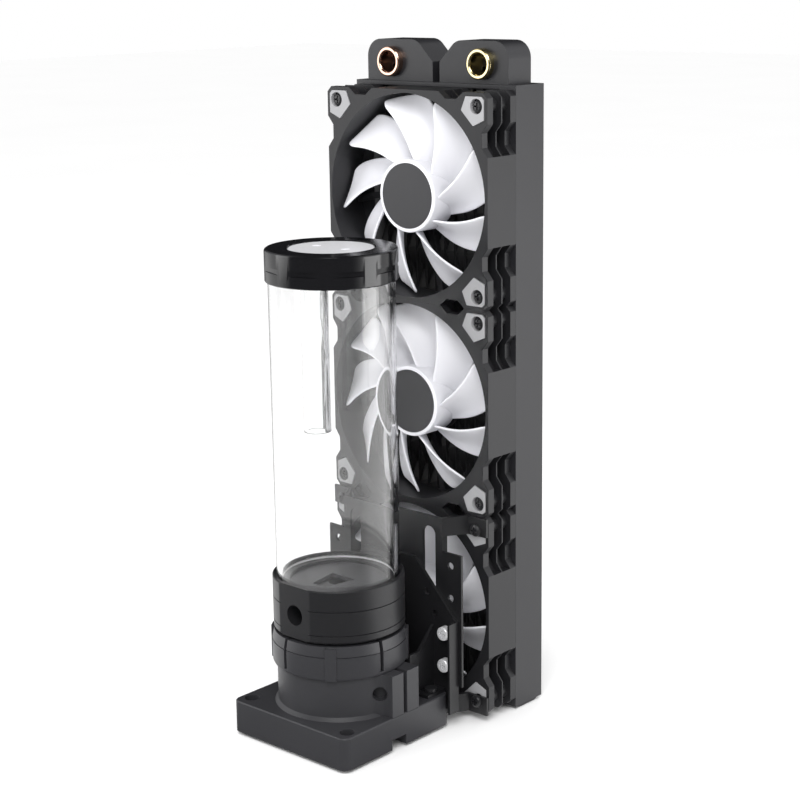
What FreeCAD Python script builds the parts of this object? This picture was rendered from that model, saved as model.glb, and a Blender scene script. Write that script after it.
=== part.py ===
import FreeCAD, Part
import math
import os
import re
import Sketcher

# Coolant pump and tube reservoir on its base, carried by a fan bracket in front of a
# three fan radiator. Millimetres. X runs across the fans, Y runs back from the pump to the
# radiator, Z runs up. The origin is under the middle of the whole unit, at its lowest level.

os.makedirs("parts", exist_ok=True)
doc = FreeCAD.newDocument("cooling_unit")
sheet = doc.addObject("Spreadsheet::Sheet", "Sizes")

# Driving dimensions, in millimetres, degrees or counts
SIZES = {
    # fan
    "fan_size": 120, "fan_depth": 25, "fan_inset": 7.5, "fan_rim": 2, "barrel_wall": 2,
    "fan_flange": 5, "fan_notch": 4, "fan_side_pad": 25, "fan_lobe": 17, "fan_slope": 5,
    "fan_corner": 3, "fan_rib": 1, "fan_boss": 4.6, "fan_hole": 2.2,
    "cup_radius": 21, "cup_plate": 4, "strut_width": 4, "strut_count": 4,
    "hub_radius": 21, "hub_wall": 2.2, "hub_setback": 1, "hub_length": 18,
    "badge_ring": 2.4, "badge_sheet": 0.8,
    "blade_count": 9, "blade_root": 13.5, "blade_lead_root": -7.5, "blade_lead_tip": 23.5,
    "blade_lead_power": 1.6, "blade_trail_root": -16, "blade_trail_tip": -6, "blade_trail_power": 3,
    "blade_thick": 1.6, "blade_front": 3.5, "blade_rear": 19.5, "blade_camber": 2.2, "tip_gap": 1.2,
    "blade_turn": 15,
    "shaft_radius": 1.5, "sleeve_wall": 1.5, "running_gap": 0.05,
    "coil_gap": 1.3, "coil_length": 8, "coil_slot": 5,
    # corner pad
    "pad_thick": 3, "pad_proud": 0.5, "pad_inset": 2.2, "pad_leg": 12.8, "pad_point": 8.4,
    "pad_corner": 1.8, "pad_hole": 4.2, "fit_gap": 0.15,
    # screws
    "screw_radius": 1.45, "screw_head": 3.7, "screw_head_high": 2.2, "screw_bite": 2.6,
    "sheet_screw_bite": 1.5,
    # radiator
    "rad_depth": 25, "side_sheet": 1.2, "side_flange": 12, "side_below": 3, "side_above": 2.5,
    "stack_foot": 5, "thread_radius": 1.5, "back_thread": 1.75, "header_sheet": 2,
    "tube_count": 12, "tube_thick": 2, "tube_depth": 16, "fin_depth": 17, "fin_sheet": 0.5,
    "fin_folds": 30, "fin_clear": 0.1,
    "tank_inset": 7.2, "tank_depth": 20, "tank_rise": 23.7, "tank_round": 10, "tank_wall": 2.2,
    "notch_top": 14.8, "notch_low": 2.6, "notch_drop": 12.3, "notch_groove": 6,
    "foot_tank_high": 6, "foot_tank_round": 5,
    "port_spread": 67.8, "port_rise": 11, "port_outer": 8.7, "port_bore": 5.9, "port_proud": 4,
    "port_length": 12,
    # fan bracket
    "bracket_depth": 15.5, "bracket_sheet": 1.6, "bracket_bar": 11, "bracket_face": 38.5,
    "bracket_ear": 13.6, "bracket_ear_high": 12.4, "bracket_wing": 52.4, "wing_drop": 20,
    "slot_middle": 28.5, "slot_width": 9.3, "slot_drop": 6.4, "slot_length": 46,
    "hole_column": 44.5, "hole_drop": 27.5, "hole_step": 19.5, "hole_count": 4, "hole_radius": 2.2,
    # carrier
    "carrier_sheet": 2, "lip_sheet": 1.4, "carrier_width": 100, "carrier_low": 10, "carrier_shoulder": 65,
    "carrier_top": 98.7, "carrier_top_width": 37, "carrier_lip": 6, "gusset_place": 32,
    "gusset_rise": 26, "gusset_slope": 13, "gusset_run": 23, "foot_wide": 13, "foot_deep": 16,
    "foot_place": 35.5, "post_hole": 28, "post_hole_high": 79.5, "edge_hole": 34.3, "edge_hole_high": 67,
    # base
    "base_width": 90, "base_depth": 88.5, "base_high": 19, "base_lift": 2, "base_round": 5,
    "base_edge": 0.6, "base_notch": 11.7, "base_notch_high": 6, "base_hole_x": 38,
    "base_hole_front": 9, "base_hole_rear": 9, "base_hole": 2.2, "base_sink": 4.3,
    "base_sink_deep": 4,
    # pump cover
    "cover_radius": 36.3, "cover_bore": 28.5, "cover_high": 24.8, "cover_neck": 32.5,
    "cover_foot": 2, "block_reach": 45, "block_front": 5.2, "block_back": 4.1,
    "block_slot": 3, "block_second": 9.8, "block_blend": 8, "cable_hole": 4.2,
    "cable_hole_x": 37.2, "cable_hole_y": 7.1, "cable_hole_high": 13.3, "cable_turn": 40,
    "cable_hole_deep": 5.5,
    # pump motor
    "can_radius": 28, "can_wall": 2, "can_lift": 2, "can_flange": 32.3, "can_flange_high": 2.5,
    "bowl_radius": 15, "bowl_gap": 1, "board_sheet": 1.6, "board_lift": 3,
    "core_outer": 25.5, "core_inner": 17.5, "core_high": 16, "core_teeth": 9, "core_slot": 3,
    "pivot_radius": 2, "pivot_stem": 1.2, "rotor_disc": 15.5, "rotor_disc_high": 2,
    "vane_count": 6, "vane_high": 5, "vane_thick": 1.4, "vane_inner": 4.5,
    # lock ring
    "ring_radius": 38.8, "ring_bore": 33, "ring_high": 19.6, "ring_gap": 1.5, "ring_band": 13.2,
    "ring_taper": 1.2, "ring_groove": 0.6, "ring_slit": 2.2, "ring_slit_foot": 2, "ring_rib": 6.5,
    "ring_rib_proud": 0.6, "ring_repeat": 4, "ring_slit_turn": -9,
    # pump top
    "top_radius": 37.7, "top_high": 30.7, "top_floor": 24.5, "top_bore": 28, "chamber_radius": 17.5,
    "chamber_high": 10, "eye_radius": 6, "facet_place": 35.9, "top_groove": 0.6,
    "top_groove_low": 4.6, "top_groove_up": 18.6, "outlet_high": 13.6, "outlet_radius": 5.9,
    "outlet_deep": 12, "channel_radius": 3, "channel_high": 9.5, "channel_x": 5,
    "seal_cord": 0.75, "seal_place": 29.5,
    # reservoir
    "glass_radius": 35.2, "glass_wall": 3, "glass_high": 172.6, "glass_fit": 0.25,
    "seat_deep": 2.5, "gasket_sheet": 1, "intake_radius": 27.5, "intake_sheet": 2, "intake_wide": 9,
    "intake_narrow": 5, "intake_front": 16, "intake_back": 4,
    "drop_radius": 8, "drop_wall": 2, "drop_length": 92, "drop_place": 14,
    # cap
    "cap_radius": 36.8, "cap_high": 18, "cap_skirt": 4, "cap_floor": 6.5, "cap_ledge": 8, "cap_ledge_bore": 21,
    "cap_bore": 24.3, "cap_slots": 9, "cap_slot_turn": 19, "cap_slot_deep": 1.1,
    "cap_slot_high": 3, "cap_rim": 1,
    "fill_hole": 7, "fill_place": 12, "plug_radius": 24, "plug_lift_gap": 0.3, "plug_sunk": 0.4, "plug_dimple": 2.6,
    "plug_dimple_deep": 1.5, "plug_dimple_place": 11, "plug_seal_drop": 5, "ring_cord": 0.8,
}
for row, (alias, size) in enumerate(SIZES.items(), start=1):
    sheet.set("A%d" % row, alias.replace("_", " "))
    sheet.set("B%d" % row, str(size))
    sheet.setAlias("B%d" % row, alias)
doc.recompute()

# Places that follow from the sizes
FAN_BORE = "(fan_size / 2 - fan_rim)"
FAN_BARREL = "(%s + barrel_wall)" % FAN_BORE
FAN_PITCH = "(fan_size - fan_inset * 2)"
BADGE = "(hub_radius - badge_ring)"
TANK_WIDTH = "(fan_size - tank_inset * 2)"
FAN_FRONT = "((base_depth + carrier_sheet + bracket_depth - fan_depth - rad_depth) / 2)"
RAD_FRONT = "(%s + fan_depth)" % FAN_FRONT
RAD_MIDDLE = "(%s + rad_depth / 2)" % RAD_FRONT
BRACKET_FRONT = "(%s - bracket_depth)" % FAN_FRONT
BASE_BACK = "(%s - carrier_sheet)" % BRACKET_FRONT
PUMP_AXIS = "(%s - base_depth / 2)" % BASE_BACK
BASE_TOP = "(base_lift + base_high)"
COVER_TOP = "(%s + cover_high)" % BASE_TOP
RING_TOP = "(%s + ring_high)" % COVER_TOP
TOP_FOOT = "(%s + ring_gap)" % RING_TOP
GASKET_FOOT = "(%s + top_high - seat_deep)" % TOP_FOOT
GLASS_FOOT = "(%s + gasket_sheet)" % GASKET_FOOT
GLASS_TOP = "(%s + glass_high)" % GLASS_FOOT
CAP_FOOT = "(%s + gasket_sheet - cap_skirt)" % GLASS_TOP
GLASS_SEAT = "(glass_radius + glass_fit)"
CAN_TOP = "(%s - can_flange_high)" % RING_TOP
SIDE_FOOT = "(stack_foot - side_below)"
STACK_TOP = "(stack_foot + fan_size * 3)"
SIDE_TOP = "(%s + side_above)" % STACK_TOP
CORE_FOOT = "(foot_tank_high + header_sheet)"
CORE_WIDTH = "(fan_size - side_flange * 2)"
INNER_WIDTH = "(fan_size - side_sheet * 2)"
INNER_DEPTH = "(rad_depth - side_sheet * 2)"
FAN_NAMES = ["bottom", "middle", "top"]
FAN_LEVEL = ["(stack_foot + fan_size * %s)" % step for step in ("0.5", "1.5", "2.5")]

made = []


def tied(formula):
    """A formula whose size names point at the sheet."""
    return re.sub(r"\b([a-z]+(?:_[a-z]+)+)\b", r"Sizes.\1", formula)


def size(formula):
    """The number that a formula gives now."""
    return float(sheet.evalExpression(tied(formula)))


def tie(thing, name, formula):
    """Bind one property to a formula."""
    thing.setExpression(name, tied(formula))


def new_body(label, x="0", y="0", z="0"):
    """An empty body at a place given by formulas."""
    body = doc.addObject("PartDesign::Body", label)
    body.Label = label
    body.AllowCompound = True
    tie(body, ".Placement.Base.x", x)
    tie(body, ".Placement.Base.y", y)
    tie(body, ".Placement.Base.z", z)
    made.append(body)
    return body


def new_sketch(body, plane, place="0"):
    """A sketch on one of the body's own planes, moved along the axis square to it."""
    sketch = body.newObject("Sketcher::SketchObject", body.Label + "_sketch")
    face = [item for item in body.Origin.OriginFeatures if item.Role == plane + "_Plane"][0]
    sketch.AttachmentSupport = [(face, "")]
    sketch.MapMode = "FlatFace"
    along = "-(%s)" % place if plane == "XZ" else place
    tie(sketch, ".AttachmentOffset.Base.z", along)
    return sketch


def hold(sketch, constraints, formulas):
    """Add constraints and bind the ones that have a formula."""
    first = sketch.ConstraintCount
    sketch.addConstraint(constraints)
    for number, formula in enumerate(formulas):
        if formula is not None:
            tie(sketch, "Constraints[%d]" % (first + number), formula)


def outline(sketch, corners):
    """A closed outline of straight edges through corners given as formulas."""
    spots = [FreeCAD.Vector(size(x), size(y), 0) for x, y in corners]
    first = sketch.GeometryCount
    count = len(spots)
    lines = [Part.LineSegment(spots[k], spots[(k + 1) % count]) for k in range(count)]
    sketch.addGeometry(lines)
    constraints = []
    formulas = []
    for k in range(count):
        after = first + (k + 1) % count
        constraints.append(Sketcher.Constraint("Coincident", first + k, 2, after, 1))
        formulas.append(None)
    for k, (x, y) in enumerate(corners):
        constraints.append(Sketcher.Constraint("DistanceX", -1, 1, first + k, 1, spots[k].x))
        constraints.append(Sketcher.Constraint("DistanceY", -1, 1, first + k, 1, spots[k].y))
        formulas += [x, y]
    hold(sketch, constraints, formulas)


def box_outline(sketch, left, low, right, high):
    """A rectangle between two corners."""
    outline(sketch, [(left, low), (right, low), (right, high), (left, high)])


def circle(sketch, x, y, radius):
    """A circle at a place given by formulas."""
    middle = FreeCAD.Vector(size(x), size(y), 0)
    number = sketch.addGeometry(Part.Circle(middle, FreeCAD.Vector(0, 0, 1), size(radius)))
    constraints = [
        Sketcher.Constraint("DistanceX", -1, 1, number, 3, middle.x),
        Sketcher.Constraint("DistanceY", -1, 1, number, 3, middle.y),
        Sketcher.Constraint("Radius", number, size(radius)),
    ]
    hold(sketch, constraints, [x, y, radius])


def slot_outline(sketch, x, low, high, half):
    """An upright slot with round ends; low and high are the middles of the ends."""
    radius = size(half)
    middle = size(x)
    bottom = FreeCAD.Vector(middle, size(low), 0)
    top = FreeCAD.Vector(middle, size(high), 0)
    up = FreeCAD.Vector(0, 0, 1)
    first = sketch.GeometryCount
    side = FreeCAD.Vector(radius, 0, 0)
    sketch.addGeometry([
        Part.LineSegment(bottom + side, top + side),
        Part.ArcOfCircle(Part.Circle(top, up, radius), 0, math.pi),
        Part.LineSegment(top - side, bottom - side),
        Part.ArcOfCircle(Part.Circle(bottom, up, radius), math.pi, 2 * math.pi),
    ])
    constraints = [
        Sketcher.Constraint("Tangent", first, 2, first + 1, 1),
        Sketcher.Constraint("Tangent", first + 1, 2, first + 2, 1),
        Sketcher.Constraint("Tangent", first + 2, 2, first + 3, 1),
        Sketcher.Constraint("Tangent", first + 3, 2, first, 1),
        Sketcher.Constraint("DistanceX", -1, 1, first + 1, 3, middle),
        Sketcher.Constraint("DistanceY", -1, 1, first + 1, 3, top.y),
        Sketcher.Constraint("DistanceX", -1, 1, first + 3, 3, middle),
        Sketcher.Constraint("DistanceY", -1, 1, first + 3, 3, bottom.y),
        Sketcher.Constraint("Radius", first + 1, radius),
    ]
    hold(sketch, constraints, [None] * 4 + [x, high, x, low, half])


def pad(body, sketch, length, back=False):
    """Raise a sketch by a length; back turns the direction round."""
    feature = body.newObject("PartDesign::Pad", body.Label + "_pad")
    feature.Profile = sketch
    feature.Reversed = back
    tie(feature, "Length", length)
    return feature


def pocket(body, sketch, depth=None, back=False):
    """Cut a sketch to a depth, or right through both ways where no depth is given."""
    feature = body.newObject("PartDesign::Pocket", body.Label + "_pocket")
    feature.Profile = sketch
    if depth is None:
        feature.SideType = "Symmetric"
        feature.Type = "ThroughAll"
    else:
        feature.Reversed = back
        tie(feature, "Length", depth)
    return feature


def turn(body, sketch, cut=False):
    """Turn a sketch once round its own upright axis."""
    kind = "PartDesign::Groove" if cut else "PartDesign::Revolution"
    feature = body.newObject(kind, body.Label + "_turn")
    feature.Profile = sketch
    feature.ReferenceAxis = (sketch, ["V_Axis"])
    feature.Angle = 360
    return feature


def turned_body(label, corners, x="0", y=PUMP_AXIS, z="0"):
    """A body turned about an upright axis from radius and height pairs."""
    body = new_body(label, x, y, z)
    sketch = new_sketch(body, "XZ")
    outline(sketch, corners)
    turn(body, sketch)
    return body


def around(body, features, sketch, count):
    """Repeat features evenly about the axis square to a sketch."""
    doc.recompute()
    feature = body.newObject("PartDesign::PolarPattern", body.Label + "_round")
    feature.Originals = features
    feature.Axis = (sketch, ["N_Axis"])
    feature.Angle = 360
    tie(feature, "Occurrences", count)
    body.Tip = feature
    return feature


def along(body, features, sketch, count, length):
    """Repeat features along the first axis of a sketch over a length."""
    doc.recompute()
    feature = body.newObject("PartDesign::LinearPattern", body.Label + "_row")
    feature.Originals = features
    feature.Direction = (sketch, ["H_Axis"])
    tie(feature, "Length", length)
    tie(feature, "Occurrences", count)
    body.Tip = feature
    return feature


def edges_where(body, test):
    """Names of the body's edges whose middle and direction pass a test, in its own frame."""
    doc.recompute()
    shape = body.Tip.Shape
    names = []
    for number, edge in enumerate(shape.Edges, start=1):
        middle = edge.valueAt((edge.FirstParameter + edge.LastParameter) / 2)
        ends = edge.lastVertex().Point - edge.firstVertex().Point
        if test(middle, ends, edge):
            names.append("Edge%d" % number)
    return names


def dress(body, kind, names, amount):
    """Round or bevel edges; kind is Fillet or Chamfer."""
    base = body.Tip
    feature = body.newObject("PartDesign::" + kind, body.Label + "_edge")
    feature.Base = (base, names)
    tie(feature, "Radius" if kind == "Fillet" else "Size", amount)
    return feature


def corners_of_fan():
    """The four screw places of a fan, as formulas."""
    half = "%s / 2" % FAN_PITCH
    return [(a % half, b % half) for a in ("-%s", "%s") for b in ("-%s", "%s")]


def quarter_turns(points):
    """Points given for one side, repeated on four sides of a square."""
    turned = list(points)
    side = list(points)
    for _ in range(3):
        side = [("-(%s)" % b, a) for a, b in side]
        turned += side
    return turned


# Fans

def fan_frame(name, level):
    """Moulded frame: two flanges on a barrel, open corners, motor cup on struts behind."""
    body = new_body("fan_frame_" + name, y=FAN_FRONT, z=level)
    half = "fan_size / 2"
    low = "fan_size / 2 - fan_notch"
    waist = "fan_side_pad + fan_slope"
    out = "(fan_size / 2 - fan_lobe)"
    lobe = "%s - fan_slope" % out
    side = [
        (half, "-%s" % out), (low, "-(%s)" % lobe), (low, "-(%s)" % waist), (half, "-fan_side_pad"),
        (half, "fan_side_pad"), (low, waist), (low, lobe), (half, out),
        (half, "fan_size / 2 - fan_corner"), ("fan_size / 2 - fan_corner", half),
    ]
    plate = new_sketch(body, "XZ")
    outline(plate, quarter_turns(side))
    pad(body, plate, "fan_depth", back=True)
    gap = "(fan_depth - fan_flange * 2 - fan_rib) / 2"
    for start in ("fan_flange", "fan_flange + %s + fan_rib" % gap):
        ring = new_sketch(body, "XZ", start)
        box_outline(ring, "-fan_size", "-fan_size", "fan_size", "fan_size")
        circle(ring, "0", "0", FAN_BARREL)
        pocket(body, ring, gap)
    middle = new_sketch(body, "XZ", "fan_flange")
    for x, z in corners_of_fan():
        circle(middle, x, z, "fan_boss")
    inner = "%s - fan_boss * 2" % FAN_BARREL
    box_outline(middle, inner, "-fan_side_pad", half, "fan_side_pad")
    box_outline(middle, "-fan_size / 2", "-fan_side_pad", "-(%s)" % inner, "fan_side_pad")
    box_outline(middle, "-fan_side_pad", inner, "fan_side_pad", half)
    box_outline(middle, "-fan_side_pad", "-fan_size / 2", "fan_side_pad", "-(%s)" % inner)
    pad(body, middle, "fan_depth - fan_flange * 2", back=True)
    bore = new_sketch(body, "XZ")
    circle(bore, "0", "0", FAN_BORE)
    for x, z in corners_of_fan():
        circle(bore, x, z, "fan_hole")
    pocket(body, bore)
    seats = new_sketch(body, "XZ")
    for turn_sign in quarter_pads("fit_gap"):
        outline(seats, turn_sign)
    pocket(body, seats, "pad_thick - pad_proud")
    cup = new_sketch(body, "XZ", "fan_depth - cup_plate")
    circle(cup, "0", "0", "cup_radius")
    circle(cup, "0", "0", "shaft_radius + sleeve_wall")
    pad(body, cup, "cup_plate", back=True)
    stem = new_sketch(body, "XZ", "hub_setback + badge_sheet + hub_wall * 2")
    circle(stem, "0", "0", "shaft_radius + sleeve_wall * 2")
    circle(stem, "0", "0", "shaft_radius + sleeve_wall")
    pad(body, stem, "fan_depth - cup_plate - hub_setback - badge_sheet - hub_wall * 2", back=True)
    strut = new_sketch(body, "XZ", "fan_depth - cup_plate")
    start = "cup_radius - 1"
    reach = "(%s + barrel_wall / 2)" % FAN_BORE
    lean = "strut_width * 2"
    outline(strut, [
        (start, "-strut_width / 2"), (reach, "%s - strut_width / 2" % lean),
        (reach, "%s + strut_width / 2" % lean), (start, "strut_width / 2"),
    ])
    arm = pad(body, strut, "cup_plate", back=True)
    around(body, [arm], strut, "strut_count")


def quarter_pads(grow):
    """Outlines of the four corner pads, each grown by a clearance."""
    out = "(fan_size / 2 - pad_inset + %s)" % grow
    leg = "(fan_size / 2 - pad_inset - pad_leg - %s)" % grow
    tip = "(%s - pad_corner)" % out
    point = "(fan_size / 2 - pad_inset - pad_leg * 0.6 - %s)" % grow
    deep = "(%s - pad_point)" % point
    corner = [(leg, out), (tip, out), (out, tip), (out, leg), (point, deep), (deep, point)]
    pads = []
    for _ in range(4):
        pads.append(corner)
        corner = [("-(%s)" % b, a) for a, b in corner]
    return pads


def fan_pads(name, level):
    """Four pale rubber pads set in the front corners."""
    body = new_body("fan_pads_" + name, y=FAN_FRONT, z=level)
    face = new_sketch(body, "XZ", "-pad_proud")
    for corner in quarter_pads("0"):
        outline(face, corner)
    for x, z in corners_of_fan():
        circle(face, x, z, "pad_hole")
    pad(body, face, "pad_thick", back=True)


def fan_rotor(name, level):
    """Hub cup with swept blades lofted through four sections and trimmed at the tip."""
    body = new_body("fan_rotor_" + name, y=FAN_FRONT, z=level)
    cup = new_sketch(body, "XY")
    face = "hub_setback + badge_sheet"
    floor = "hub_setback + badge_sheet + hub_wall"
    end = "hub_setback + hub_length"
    inner = "hub_radius - hub_wall"
    seat = "%s + fit_gap" % BADGE
    outline(cup, [
        ("shaft_radius", face), (seat, face), (seat, "hub_setback"),
        ("hub_radius - 1", "hub_setback"), ("hub_radius", "hub_setback + 1"), ("hub_radius", end),
        (inner, end), (inner, floor), ("shaft_radius", floor),
    ])
    turn(body, cup)
    doc.recompute()
    sections = []
    for share in (0, 0.35, 0.7, 1):
        place = "blade_root + (%s - blade_root) * %s" % (FAN_BORE, share)
        section = new_sketch(body, "YZ", place)
        high = "(blade_lead_root + (blade_lead_tip - blade_lead_root) * %s ^ blade_lead_power)" % share
        low = "(blade_trail_root + (blade_trail_tip - blade_trail_root) * %s ^ blade_trail_power)" % share
        middle = "((%s + %s) / 2)" % (high, low)
        bend = "((blade_front + blade_rear) / 2 + blade_camber)"
        skin = "blade_thick"
        outline(section, [
            ("blade_front", high), (bend, middle), ("blade_rear", low),
            ("blade_rear - %s * 0.6" % skin, "%s - %s * 0.3" % (low, skin)),
            ("%s - %s" % (bend, skin), "%s - %s * 0.8" % (middle, skin)),
            ("blade_front - %s * 0.3" % skin, "%s - %s * 0.6" % (high, skin)),
        ])
        sections.append(section)
    blade = body.newObject("PartDesign::AdditiveLoft", body.Label + "_blade")
    blade.Profile = sections[0]
    blade.Sections = sections[1:]
    axis = new_sketch(body, "XZ")
    around(body, [blade], axis, "blade_count")
    clear = new_sketch(body, "XZ", floor)
    circle(clear, "0", "0", inner)
    pocket(body, clear, "fan_depth")
    trim = new_sketch(body, "XZ")
    box_outline(trim, "-fan_size", "-fan_size", "fan_size", "fan_size")
    circle(trim, "0", "0", "%s - tip_gap" % FAN_BORE)
    pocket(body, trim)
    body.Placement.Rotation = FreeCAD.Rotation(FreeCAD.Vector(0, -1, 0), size("blade_turn"))
    tie(body, ".Placement.Rotation.Angle", "blade_turn")


def fan_small_parts(name, level):
    """Badge on the hub, shaft pressed in the hub, sleeve bearing in the stem, wound stator."""
    badge = new_body("fan_badge_" + name, y=FAN_FRONT, z=level)
    disc = new_sketch(badge, "XZ", "hub_setback")
    circle(disc, "0", "0", BADGE)
    pad(badge, disc, "badge_sheet", back=True)

    shaft = new_body("fan_shaft_" + name, y=FAN_FRONT, z=level)
    rod = new_sketch(shaft, "XZ", "hub_setback + badge_sheet")
    circle(rod, "0", "0", "shaft_radius")
    pad(shaft, rod, "fan_depth - cup_plate / 2 - hub_setback - badge_sheet", back=True)

    sleeve = new_body("fan_bearing_" + name, y=FAN_FRONT, z=level)
    bush = new_sketch(sleeve, "XZ", "hub_setback + badge_sheet + hub_wall * 2")
    circle(bush, "0", "0", "shaft_radius + sleeve_wall")
    circle(bush, "0", "0", "shaft_radius + running_gap")
    pad(sleeve, bush, "fan_depth - hub_setback - badge_sheet - hub_wall * 2", back=True)

    stator = new_body("fan_stator_" + name, y=FAN_FRONT, z=level)
    coil = "(hub_radius - hub_wall - coil_gap)"
    core = new_sketch(stator, "XZ", "fan_depth - cup_plate - coil_length")
    circle(core, "0", "0", coil)
    circle(core, "0", "0", "shaft_radius + sleeve_wall * 2 + fit_gap")
    pad(stator, core, "coil_length", back=True)
    gap = new_sketch(stator, "XZ", "fan_depth - cup_plate - coil_length")
    box_outline(gap, "%s * 0.45" % coil, "-coil_slot / 2", "%s * 2" % coil, "coil_slot / 2")
    cut = pocket(stator, gap, "coil_length - 1")
    around(stator, [cut], gap, "strut_count")


def fan_screws(name, level, seat):
    """Four screws through the fan into the radiator side plates."""
    body = new_body("fan_screws_" + name, y=FAN_FRONT, z=level)
    heads = new_sketch(body, "XZ", "%s - screw_head_high" % seat)
    shanks = new_sketch(body, "XZ", seat)
    for x, z in corners_of_fan():
        circle(heads, x, z, "screw_head")
        circle(shanks, x, z, "screw_radius")
    pad(body, heads, "screw_head_high", back=True)
    pad(body, shanks, "fan_depth + screw_bite - (%s)" % seat, back=True)


for fan_name, fan_level in zip(FAN_NAMES, FAN_LEVEL):
    fan_frame(fan_name, fan_level)
    fan_pads(fan_name, fan_level)
    fan_rotor(fan_name, fan_level)
    fan_small_parts(fan_name, fan_level)
    on_bracket = fan_name == "bottom"
    fan_screws(fan_name, fan_level, "-pad_proud - bracket_sheet" if on_bracket else "pad_thick - pad_proud")


# Radiator

def side_plate(label, sign):
    """Folded side channel with threaded fan holes in both flanges."""
    body = new_body(label, y=RAD_FRONT, z=SIDE_FOOT)
    out = sign + "fan_size / 2"
    web = sign + "(fan_size / 2 - side_sheet)"
    lip = sign + "(fan_size / 2 - side_flange)"
    plan = new_sketch(body, "XY")
    outline(plan, [
        (out, "0"), (out, "rad_depth"), (lip, "rad_depth"), (lip, "rad_depth - side_sheet"),
        (web, "rad_depth - side_sheet"), (web, "side_sheet"), (lip, "side_sheet"), (lip, "0"),
    ])
    pad(body, plan, "%s - %s" % (SIDE_TOP, SIDE_FOOT))
    for face, radius in (("0", "thread_radius"), ("rad_depth - side_sheet", "back_thread")):
        holes = new_sketch(body, "XZ", face)
        for level in FAN_LEVEL:
            for half in ("- %s / 2", "+ %s / 2"):
                place = "%s %s - %s" % (level, half % FAN_PITCH, SIDE_FOOT)
                circle(holes, "%s%s / 2" % (sign, FAN_PITCH), place, radius)
        pocket(body, holes, "side_sheet")


def header(label, foot, lip_down):
    """Header plate that the tubes end in, with a lip at front and back."""
    body = new_body(label, y=RAD_MIDDLE, z=foot)
    plate = new_sketch(body, "XY")
    half = "%s / 2" % INNER_WIDTH
    deep = "%s / 2" % INNER_DEPTH
    box_outline(plate, "-(%s)" % half, "-(%s)" % deep, half, deep)
    pad(body, plate, "header_sheet")
    lip_half = "fan_size / 2 - side_flange"
    lips = new_sketch(body, "XY", "-side_above" if lip_down else "0")
    box_outline(lips, "-(%s)" % lip_half, "-rad_depth / 2", lip_half, "-(%s)" % deep)
    box_outline(lips, "-(%s)" % lip_half, deep, lip_half, "rad_depth / 2")
    pad(body, lips, "side_above + header_sheet" if lip_down else "side_above")


def upper_tank():
    """Cast end tank in two lobes with a notch between, hollow below, two port holes."""
    body = new_body("rad_tank_top", y=RAD_MIDDLE, z=SIDE_TOP)
    half = "(%s / 2)" % TANK_WIDTH
    face = new_sketch(body, "XZ", "-tank_depth / 2")
    low = "tank_rise - notch_drop"
    outline(face, [
        ("-%s" % half, "0"), (half, "0"), (half, "tank_rise"), ("notch_top", "tank_rise"),
        ("notch_low", low), ("-notch_low", low), ("-notch_top", "tank_rise"), ("-%s" % half, "tank_rise"),
    ])
    pad(body, face, "tank_depth", back=True)
    foot = new_sketch(body, "XY", "-(side_above - header_sheet)")
    half_in = "(%s / 2)" % INNER_WIDTH
    deep_in = "(%s / 2)" % INNER_DEPTH
    box_outline(foot, "-%s" % half_in, "-%s" % deep_in, half_in, deep_in)
    pad(body, foot, "side_above - header_sheet")
    reach = size(half)
    top = size("tank_rise")
    notch = size("notch_top")

    def long_corner(middle, ends, edge):
        across = abs(ends.y) > 1 and abs(ends.x) < 0.01 and abs(ends.z) < 0.01
        return across and middle.z > top - 0.01 and abs(middle.x) > reach - 0.01

    def notch_corner(middle, ends, edge):
        across = abs(ends.y) > 1 and abs(ends.x) < 0.01 and abs(ends.z) < 0.01
        return across and middle.z > top - 0.01 and abs(abs(middle.x) - notch) < 0.01

    outer = edges_where(body, long_corner)
    dress(body, "Fillet", outer, "tank_round")
    inner = edges_where(body, notch_corner)
    dress(body, "Fillet", inner, "tank_round")
    groove = new_sketch(body, "XZ", "-tank_depth / 2")
    box_outline(groove, "-notch_low", "0", "notch_low", "tank_rise")
    pocket(body, groove, "notch_groove")
    hollow = new_sketch(body, "XY", "-(side_above - header_sheet)")
    far = "%s - tank_wall - tank_round / 2" % half
    near = "notch_low + tank_wall"
    deep = "tank_depth / 2 - tank_wall"
    box_outline(hollow, near, "-(%s)" % deep, far, deep)
    box_outline(hollow, "-(%s)" % far, "-(%s)" % deep, "-(%s)" % near, deep)
    pocket(body, hollow, "tank_rise - tank_wall - notch_drop + side_above - header_sheet", back=True)
    ports = new_sketch(body, "XZ", "-tank_depth / 2")
    for sign in ("-", ""):
        circle(ports, sign + "port_spread / 2", "port_rise", "port_outer")
    pocket(body, ports, "port_length - port_proud")


def lower_tank():
    """Short end tank with a rounded underside."""
    body = new_body("rad_tank_bottom", y=RAD_MIDDLE)
    plan = new_sketch(body, "XY")
    half = "(%s / 2)" % INNER_WIDTH
    deep = "(%s / 2)" % INNER_DEPTH
    box_outline(plan, "-%s" % half, "-%s" % deep, half, deep)
    pad(body, plan, "foot_tank_high")

    def under_edge(middle, ends, edge):
        return middle.z < 0.01 and abs(ends.x) > 1

    dress(body, "Fillet", edges_where(body, under_edge), "foot_tank_round")
    hollow = new_sketch(body, "XY", "foot_tank_high")
    box_outline(hollow, "-(%s - tank_wall)" % half, "-tube_depth / 2", "%s - tank_wall" % half, "tube_depth / 2")
    pocket(body, hollow, "foot_tank_high - tank_wall")


def port(label, sign):
    """Threaded brass collar set in the tank."""
    body = new_body(label, x=sign + "port_spread / 2", y=RAD_MIDDLE, z="%s + port_rise" % SIDE_TOP)
    ring = new_sketch(body, "XZ", "-tank_depth / 2 - port_proud")
    circle(ring, "0", "0", "port_outer")
    circle(ring, "0", "0", "port_bore")
    pad(body, ring, "port_length", back=True)


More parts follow.
